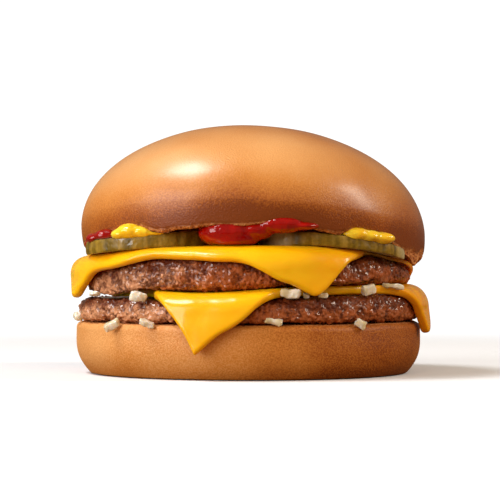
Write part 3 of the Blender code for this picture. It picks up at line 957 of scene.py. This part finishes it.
def patty_rows():
    """Rows from the middle of the top, over the rim, to the middle of the base.

    Each has a share of the flat face, a distance out over the rim, and a level from 1 down to -1.
    """
    face = np.concatenate((np.linspace(0.0, 0.8, 9), np.linspace(0.8, 1.0, 20)[1:-1]))
    turn = np.linspace(0.0, 0.5 * math.pi, 26)
    share = np.concatenate((face, np.ones_like(turn)))
    out = np.concatenate((np.zeros_like(face), PATTY_EDGE * np.sin(turn) ** PATTY_EDGE_POWER))
    level = np.concatenate((np.ones_like(face), np.cos(turn) ** PATTY_EDGE_POWER))
    upper = together(share, out, level)
    return np.vstack((upper, (upper * (1.0, 1.0, -1.0))[-2::-1]))


def make_patty(name, node, layer, relief, seed):
    """A patty between the layers it lies between, with a rounded rim whose widest place lies low."""
    angles = even_angles(PATTY_COLUMNS)
    inner = layer.outline(angles) - PATTY_EDGE
    share, out, level = patty_rows().T[..., None]
    radius = inner * share + out
    plan = directions(angles) * radius[..., None] + layer.centre
    x, y = plan[..., 0], plan[..., 1]
    low, high = layer.bottom(x, y), layer.top(x, y)
    height = 0.5 * (low + high) + 0.5 * (high - low) * (level - 0.2 * (1.0 - level**2))
    rings = together(x, y, height)
    up = np.broadcast_to(0.5 + 0.5 * level, x.shape)
    on_rim = smooth_step(radius - inner, -1.5, 1.5)
    piece = link(name, closed_mesh(name, rings, BEEF, height=up, rim=on_rim))
    grow(piece, relief, MEAT_RELIEF | {"Seed": seed})
    belongs(piece, "seared_beef", node)


# ---------------------------------------------------------------- cheese


def drape_column(along, inner_height, half_height, half, stand):
    """How far out and down a slice goes, for distances past where its patty's edge starts to round."""
    lift = GAP + half
    clear = SLICE_CLEARANCE + half
    turn = np.linspace(0.0, 0.5 * math.pi, 40)
    power = PATTY_EDGE_POWER - 0.12 * stand
    out = (PATTY_EDGE + clear + stand) * np.sin(turn) ** power
    down = (half_height + clear) * (1.0 - np.cos(turn) ** power)
    walked = np.concatenate(((0.0,), np.cumsum(np.hypot(np.diff(out), np.diff(down)))))
    hang = np.maximum(along - walked[-1], 0.0)
    across = np.where(along > 0.0, np.interp(along, walked, out), along)
    fall = np.interp(along, walked, down)
    return across + hang * math.sin(SLICE_FLARE), inner_height + lift - fall - hang * math.cos(SLICE_FLARE)


def slice_radii(reach, inner):
    """Rows of radii on a flat slice, from near its middle to its edge, closest together at its edge."""
    last = SLICE_EDGE_RINGS[-1]
    near = np.broadcast_to(SLICE_EDGE_RINGS[:, None], (len(SLICE_EDGE_RINGS), len(reach)))
    far = last + (reach - last - 0.72 * inner) * np.linspace(0.0, 1.0, 45)[1:, None]
    radii = (reach - np.vstack((near, far)))[::-1]
    return np.vstack((np.linspace(0.02, 0.85, 6)[:, None] * radii[:1], radii))


def edge_distance(shape, flat):
    """How far points of a flat slice lie from its outline."""
    count = 4 * SLICE_COLUMNS
    edge = slice_outline(shape, np.arange(count) / count)
    return np.array([np.min(np.linalg.norm(row[:, None] - edge, axis=-1), axis=1) for row in flat])


def drape(shape, layer, toward, radii, inner):
    """The middle of a slice's thickness once it lies on its patty and hangs over the patty's edge."""
    x, y = (toward * inner[:, None] + layer.centre).T
    inner_top = layer.top(x, y)
    half_height = 0.5 * (inner_top - layer.bottom(x, y))
    half = 0.5 * slice_thickness(shape, x)
    stand_at, stand_most = shape["stand"]
    away = (np.arctan2(toward[:, 0], -toward[:, 1]) - stand_at) / math.radians(20.0)
    stand = stand_most * np.exp(-(away**2))
    middle = np.zeros((*radii.shape, 3))
    for column in range(SLICE_COLUMNS):
        along = radii[:, column] - inner[column]
        fall = (inner_top[column], half_height[column], half[column], stand[column])
        out, height = drape_column(along, *fall)
        x, y = (toward[column] * (inner[column] + out)[:, None] + layer.centre).T
        lift = GAP + 0.5 * slice_thickness(shape, x)
        middle[:, column] = together(x, y, np.where(along <= 0.0, layer.top(x, y) + lift, height))
    return middle


def make_slice(name, node, shape, layer):
    """A square slice, softened and draped over its patty, with rounded melted edges."""
    centre = layer.centre
    outline = slice_outline(shape, np.arange(SLICE_COLUMNS) / SLICE_COLUMNS) - centre
    reach = np.linalg.norm(outline, axis=1)
    toward = outline / reach[:, None]
    inner = layer.outline(np.arctan2(toward[:, 0], -toward[:, 1])) - PATTY_EDGE
    radii = slice_radii(reach, inner)
    middle = drape(shape, layer, toward, radii, inner)
    around = np.roll(middle, -1, axis=1) - np.roll(middle, 1, axis=1)
    normal = np.cross(np.gradient(middle, axis=0), around)
    normal /= np.linalg.norm(normal, axis=-1, keepdims=True)
    ripple = smooth_step(radii - inner, 0.0, 9.0)
    middle += normal * (0.35 * ripple * unevenness(middle, 9.0, shape["half"]))[..., None]
    half = 0.5 * slice_thickness(shape, middle[..., 0])
    near_edge = np.clip(1.0 - edge_distance(shape, toward * radii[..., None] + centre) / half, 0.0, 1.0)
    half *= np.maximum(1.0 - near_edge**2.6, 0.0) ** (1.0 / 2.6)
    half[-1] = 0.0
    upper = middle + normal * half[..., None]
    lower = middle - normal * half[..., None]
    thick = np.array((0.0, 0.0, 0.5 * SLICE_THICKNESS))
    pole = np.append(centre, layer.top(*centre) + GAP) + thick
    over = np.broadcast_to(pole + thick, (1, SLICE_COLUMNS, 3))
    under = np.broadcast_to(pole - thick, (1, SLICE_COLUMNS, 3))
    mesh = closed_mesh(name, np.concatenate((over, upper, lower[-2::-1], under)), CHEESE)
    belongs(link(name, mesh), "processed_cheese", node)


# ---------------------------------------------------------------- pickles and sauces


def pickle_rings():
    """A flat round with a bulging skin; each point's height is its share of the thickness."""
    turn = np.linspace(0.0, math.pi, 25)
    face = np.linspace(0.0, 1.0, 16)[:-1] * (PICKLE_RADIUS - PICKLE_BULGE)
    skin = PICKLE_RADIUS - PICKLE_BULGE + PICKLE_BULGE * np.sin(turn) ** 0.55
    level = 0.5 + 0.5 * np.sign(np.cos(turn)) * np.abs(np.cos(turn)) ** 0.7
    radius = np.concatenate((face, skin, face[::-1]))
    share = np.concatenate((np.ones_like(face), level, np.zeros_like(face)))
    return radius[:, None], turned(together(radius, share), PICKLE_COLUMNS, np.zeros(2))


def make_pickle(name, node, cut, seed):
    """A slightly oval crinkly slice bent over the arch of the cheese, with a bulging skin."""
    radius, rings = pickle_rings()
    angle = even_angles(PICKLE_COLUMNS)
    wave = 0.012 * np.sin(3.0 * angle + 1.0) - 0.012
    wave = wave + 0.004 * np.sin(11.0 * angle + seed) + 0.003 * np.sin(23.0 * angle + 2.0 * seed)
    flat = rings[..., :2] * (1.0 + wave * smooth_step(radius, 6.0, PICKLE_RADIUS))[..., None]
    flat *= np.array(cut["half"]) / PICKLE_RADIUS
    cos, sin = math.cos(cut["turn"]), math.sin(cut["turn"])
    x = flat[..., 0] * cos - flat[..., 1] * sin + cut["middle"][0]
    y = flat[..., 0] * sin + flat[..., 1] * cos + cut["middle"][1]
    rings = together(x, y, cheese_top(x, y) + 0.04 + rings[..., 2] * pickle_thickness(x))
    rings[..., 2] += 0.15 * unevenness(rings * (1.0, 1.0, 0.1), 6.0, seed)
    on_skin = smooth_step(radius, PICKLE_RADIUS - 0.9, PICKLE_RADIUS - 0.3)
    # The skin is left off at both ends of the right-hand slice, showing pale flesh there, partly painted
    # light
    trimmed = np.interp(x, (-1.0, 1.0, 8.5, 11.5, 40.0, 42.5), (0.0, 1.0, 1.0, 0.0, 0.0, 0.5))
    mesh = closed_mesh(name, rings, PICKLE, skin=on_skin * (1.0 - trimmed))
    belongs(link(name, mesh), "pickle", node)


def drop_points(middle, half, rows, columns):
    """Points on an egg-shaped drop, in rows from its top to its base."""
    points = []
    for row in range(rows + 1):
        for column in range(columns):
            fall, turn = math.pi * row / rows, math.tau * column / columns
            ball = (math.sin(fall) * math.cos(turn), math.sin(fall) * math.sin(turn), math.cos(fall))
            points.append([middle[axis] + half[axis] * ball[axis] for axis in range(3)])
    return points


def make_sauce(node, sauce, slot):
    """Drops of sauce run together, lying on the cheese and the pickles."""
    rows, columns = 12, 24
    points, faces = [], []
    for middle, half in SAUCE_DROPS[node]:
        for row in range(rows):
            for column in range(columns):
                here = len(points) + row * columns
                after = (column + 1) % columns
                faces.append((here + column, here + columns + column, here + columns + after, here + after))
        points += drop_points(middle, half, rows, columns)
    mesh = bpy.data.meshes.new(node)
    mesh.from_pydata(((np.array(points) + BURGER_SHIFT) * MM).tolist(), [], faces)
    piece = link(node + "_drops", mesh)
    melt = piece.modifiers.new("melt", "REMESH")
    melt.mode = "VOXEL"
    melt.voxel_size = 0.32 * MM
    relax = piece.modifiers.new("relax", "SMOOTH")
    relax.iterations = 14
    settle(piece)
    mesh = piece.data
    place = np.empty(3 * len(mesh.vertices))
    mesh.vertices.foreach_get("co", place)
    place = place.reshape(-1, 3) / MM - BURGER_SHIFT
    x, y = place[:, 0], place[:, 1]
    bed = cheese_top(x, y) + 0.1 + pickle_thickness(x) * pickle_cover(x, y, -0.9, 0.1)
    place[:, 2] = smooth_max(place[:, 2], bed, 0.4)
    mesh.vertices.foreach_set("co", ((place + BURGER_SHIFT) * MM).ravel())
    mesh.update()
    mesh.materials.clear()
    mesh.materials.append(sauce)
    belongs(piece, slot, node)


# ---------------------------------------------------------------- onion


def onion_tree():
    """A tree that puts a small curved, rounded block of onion on every point it is given.

    Each point has its own size and turn. Inputs: how far the blocks are uneven, and a seed.
    """
    nodes, given = started_tree("diced_onion", ("Unevenness", "Seed"))
    cube = {"Size": (1.0, 1.0, 1.0), "Vertices X": 5, "Vertices Y": 3, "Vertices Z": 3}
    block = nodes.add("GeometryNodeMeshCube", None, cube)
    round_block = nodes.add("GeometryNodeSubdivisionSurface", None, {"Mesh": block, "Level": 2})
    vector = {"data_type": "FLOAT_VECTOR"}
    size = nodes.add("GeometryNodeInputNamedAttribute", vector, {"Name": "size"})
    turn = nodes.add("GeometryNodeInputNamedAttribute", vector, {"Name": "turn"})
    spin = nodes.add("FunctionNodeEulerToRotation", None, {"Euler": turn})
    laid = nodes.add(
        "GeometryNodeInstanceOnPoints",
        None,
        {"Points": given["Geometry"], "Instance": round_block, "Rotation": spin, "Scale": size},
    )
    real = nodes.add("GeometryNodeRealizeInstances", None, {"Geometry": laid})
    moved = nodes.vector("ADD", nodes.add("GeometryNodeInputPosition"), given["Seed"])
    cloud = nodes.add("ShaderNodeTexNoise", None, {"Vector": moved, "Scale": 480.0}, "Color")
    shove = nodes.vector("SUBTRACT", cloud, (0.5, 0.5, 0.5))
    shove = nodes.vector("SCALE", shove, scale=given["Unevenness"])
    shaped = nodes.add("GeometryNodeSetPosition", None, {"Geometry": real, "Offset": shove})
    smooth = nodes.add("GeometryNodeSetShadeSmooth", None, {"Geometry": shaped})
    return finished_tree(nodes, smooth, ONION)


# The share of their cut size that the bits keep once they are soft
ONION_KEPT = 0.85
# Each bit of onion that shows: its middle, its cut size, and its turns about X, Y and Z in degrees
ONION_BITS = [
    ((-30.6, -39.2, 22.4), (5.4, 3.2, 3.0), (10, 14, 12)),
    ((10.8, -47.2, 23.3), (6.2, 3.2, 2.8), (0, 6, -8)),
    ((32.4, -35.6, 24.2), (4.2, 3.0, 3.1), (5, -12, 20)),
    ((39.6, -27.6, 25.2), (7.2, 2.6, 1.5), (0, 6, 30)),
    ((-43.6, -24.4, 23.0), (3.2, 2.6, 1.4), (0, -8, -30)),
    ((14.8, -45.4, 23.0), (2.0, 2.0, 1.5), (20, 0, 10)),
    ((19.4, -44.0, 22.9), (2.9, 2.0, 1.6), (0, 10, 5)),
    ((-49.3, -10.4, 16.3), (3.0, 2.6, 2.4), (0, 20, -60)),
    ((-38.2, -34.8, 14.5), (5.0, 2.6, 2.1), (30, -28, -10)),
    ((-28.2, -42.6, 15.2), (5.0, 2.6, 2.2), (20, 18, 6)),
    ((6.2, -49.2, 15.9), (5.6, 2.6, 2.0), (10, 8, -4)),
    ((30.0, -40.2, 15.0), (3.6, 2.8, 2.8), (15, 30, 10)),
]


def make_onion():
    """The diced onion that shows in front, and a few bits in the same layers round the back."""
    bits = list(ONION_BITS)
    for step in range(9):
        angle = math.radians(100.0 + 19.5 * step)
        radius, level = (47.4, 15.9) if step % 2 else (44.4, 24.2)
        x, y = radius * math.sin(angle), -radius * math.cos(angle)
        turn = (12 * (step % 3), 9 * (step % 4) - 14, math.degrees(angle) + 40 * (step % 3) - 40)
        bits.append(((x, y, level), (4.2 + 0.5 * (step % 4), 3.0, 2.4), turn))
    mesh = bpy.data.meshes.new("onion_bits")
    places = (np.array([place for place, size, turn in bits]) + BURGER_SHIFT) * MM
    mesh.from_pydata(places.tolist(), [], [])
    sizes = np.array([size for place, size, turn in bits]) * MM * ONION_KEPT
    turns = np.radians([turn for place, size, turn in bits])
    for name, values in (("size", sizes), ("turn", turns)):
        attribute = mesh.attributes.new(name, "FLOAT_VECTOR", "POINT")
        attribute.data.foreach_set("vector", values.astype(np.float32).ravel())
    piece = link("onion_bits", mesh)
    grow(piece, onion_tree(), {"Unevenness": 1.5 * MM, "Seed": 3.0})
    belongs(piece, "diced_onion")


# ---------------------------------------------------------------- stage, light and camera


def stage_finish(name, seen, lights):
    """A floor that is seen as plain white but for the burger's shadow, and sends little light back."""
    made = bpy.data.materials.new(name)
    made.use_nodes = True
    made.node_tree.nodes.clear()
    nodes = Nodes(made.node_tree)
    path = nodes.add("ShaderNodeLightPath", output="Is Camera Ray")
    near = nodes.add("ShaderNodeBsdfDiffuse", None, {"Color": nodes.blend(path, lights, seen)})
    far = nodes.add("ShaderNodeEmission", None, {"Color": (1.0, 1.0, 1.0, 1.0), "Strength": path * 1.1})
    away = nodes.vector("LENGTH", nodes.place(), output=1)
    surface = nodes.add("ShaderNodeMixShader", None, {0: away.rise(0.2, 0.42), 1: near, 2: far})
    out = made.node_tree.nodes.new("ShaderNodeOutputMaterial")
    made.node_tree.links.new(surface.socket, out.inputs["Surface"])
    return made


def make_stage():
    """A wide floor just under the burger, and a warm room round it that is seen as plain white."""
    size = 6.0
    corners = [(-size, -size, 0), (size, -size, 0), (size, size, 0), (-size, size, 0)]
    mesh = bpy.data.meshes.new("floor")
    mesh.from_pydata(corners, [], [(0, 1, 2, 3)])
    seen, lights = (0.90, 0.925, 0.97, 1.0), (0.26, 0.16, 0.08, 1.0)
    mesh.materials.append(stage_finish("pale_floor", seen, lights))
    floor = link("floor", mesh)
    floor.location.z = -0.0002
    world = bpy.data.worlds.new("studio")
    bpy.context.scene.world = world
    world.use_nodes = True
    world.node_tree.nodes.clear()
    nodes = Nodes(world.node_tree)
    path = nodes.add("ShaderNodeLightPath", output="Is Camera Ray")
    tone = nodes.blend(path, (0.25, 0.20, 0.155, 1.0), (1.1, 1.1, 1.1, 1.0))
    sky = nodes.add("ShaderNodeBackground", None, {"Color": tone, "Strength": 1.0})
    out = world.node_tree.nodes.new("ShaderNodeOutputWorld")
    world.node_tree.links.new(sky.socket, out.inputs["Surface"])


def add_softbox(name, toward, distance, width, height, power, tint=(1.0, 1.0, 1.0)):
    """A soft rectangular lamp that faces the burger's middle from a direction."""
    lamp = bpy.data.lights.new(name, "AREA")
    lamp.shape = "RECTANGLE"
    lamp.size = width
    lamp.size_y = height
    lamp.energy = power
    lamp.color = tint
    holder = bpy.data.objects.new(name, lamp)
    bpy.context.scene.collection.objects.link(holder)
    away = Vector(toward).normalized()
    holder.location = away * distance + Vector((0.0, 0.0, 0.035))
    holder.rotation_euler = away.to_track_quat("Z", "Y").to_euler()
    return holder


def make_lights():
    add_softbox("overhead_softbox", (-0.49, -0.12, 0.87), 0.9, 0.30, 0.26, 5.0)
    add_softbox("left_softbox", (-0.82, -0.53, 0.27), 1.0, 0.62, 0.66, 8.0)
    add_softbox("right_strip", (0.86, -0.12, 0.46), 1.0, 0.16, 0.45, 4.8, (1.0, 0.9, 0.76))
    fill = add_softbox("front_fill", (0.05, -1.0, 0.50), 1.7, 1.7, 1.1, 8.4, (1.0, 0.84, 0.62))
    fill.visible_glossy = False


def make_camera():
    """A long lens more than half a metre in front, at half the burger's height, tipped slightly up."""
    lens = bpy.data.cameras.new("camera")
    lens.lens = 148.2
    lens.sensor_width = 36.0
    camera = bpy.data.objects.new("camera", lens)
    bpy.context.scene.collection.objects.link(camera)
    camera.location = (-0.00085, -0.5996, 0.031)
    camera.rotation_euler = Euler((math.radians(90.4176), 0.0, 0.0))
    bpy.context.scene.camera = camera


def build_burger():
    """Every piece, from the bun to the onion."""
    make_heel()
    make_crown()
    relief = patty_relief()
    lower = Layer(LOWER_PATTY_CENTRE, lower_patty_rim, heel_top, lower_patty_top)
    upper = Layer(UPPER_PATTY_CENTRE, upper_patty_rim, upper_patty_bottom, upper_patty_top)
    make_patty("lower_beef", "patty_lower", lower, relief, 1.7)
    make_patty("upper_beef", "patty_upper", upper, relief, 5.3)
    make_slice("lower_melt", "cheese_lower", LOWER_SLICE, lower)
    make_slice("upper_melt", "cheese_upper", UPPER_SLICE, upper)
    make_pickle("left_pickle", "pickle_left", PICKLES["pickle_left"], 1.0)
    make_pickle("right_pickle", "pickle_right", PICKLES["pickle_right"], 2.6)
    for node in SAUCE_DROPS:
        slot = node.split("_")[0]
        make_sauce(node, KETCHUP if slot == "ketchup" else MUSTARD, slot)
    make_onion()


build_burger()
make_stage()
make_lights()
make_camera()
bpy.context.scene.view_settings.view_transform = "Standard"
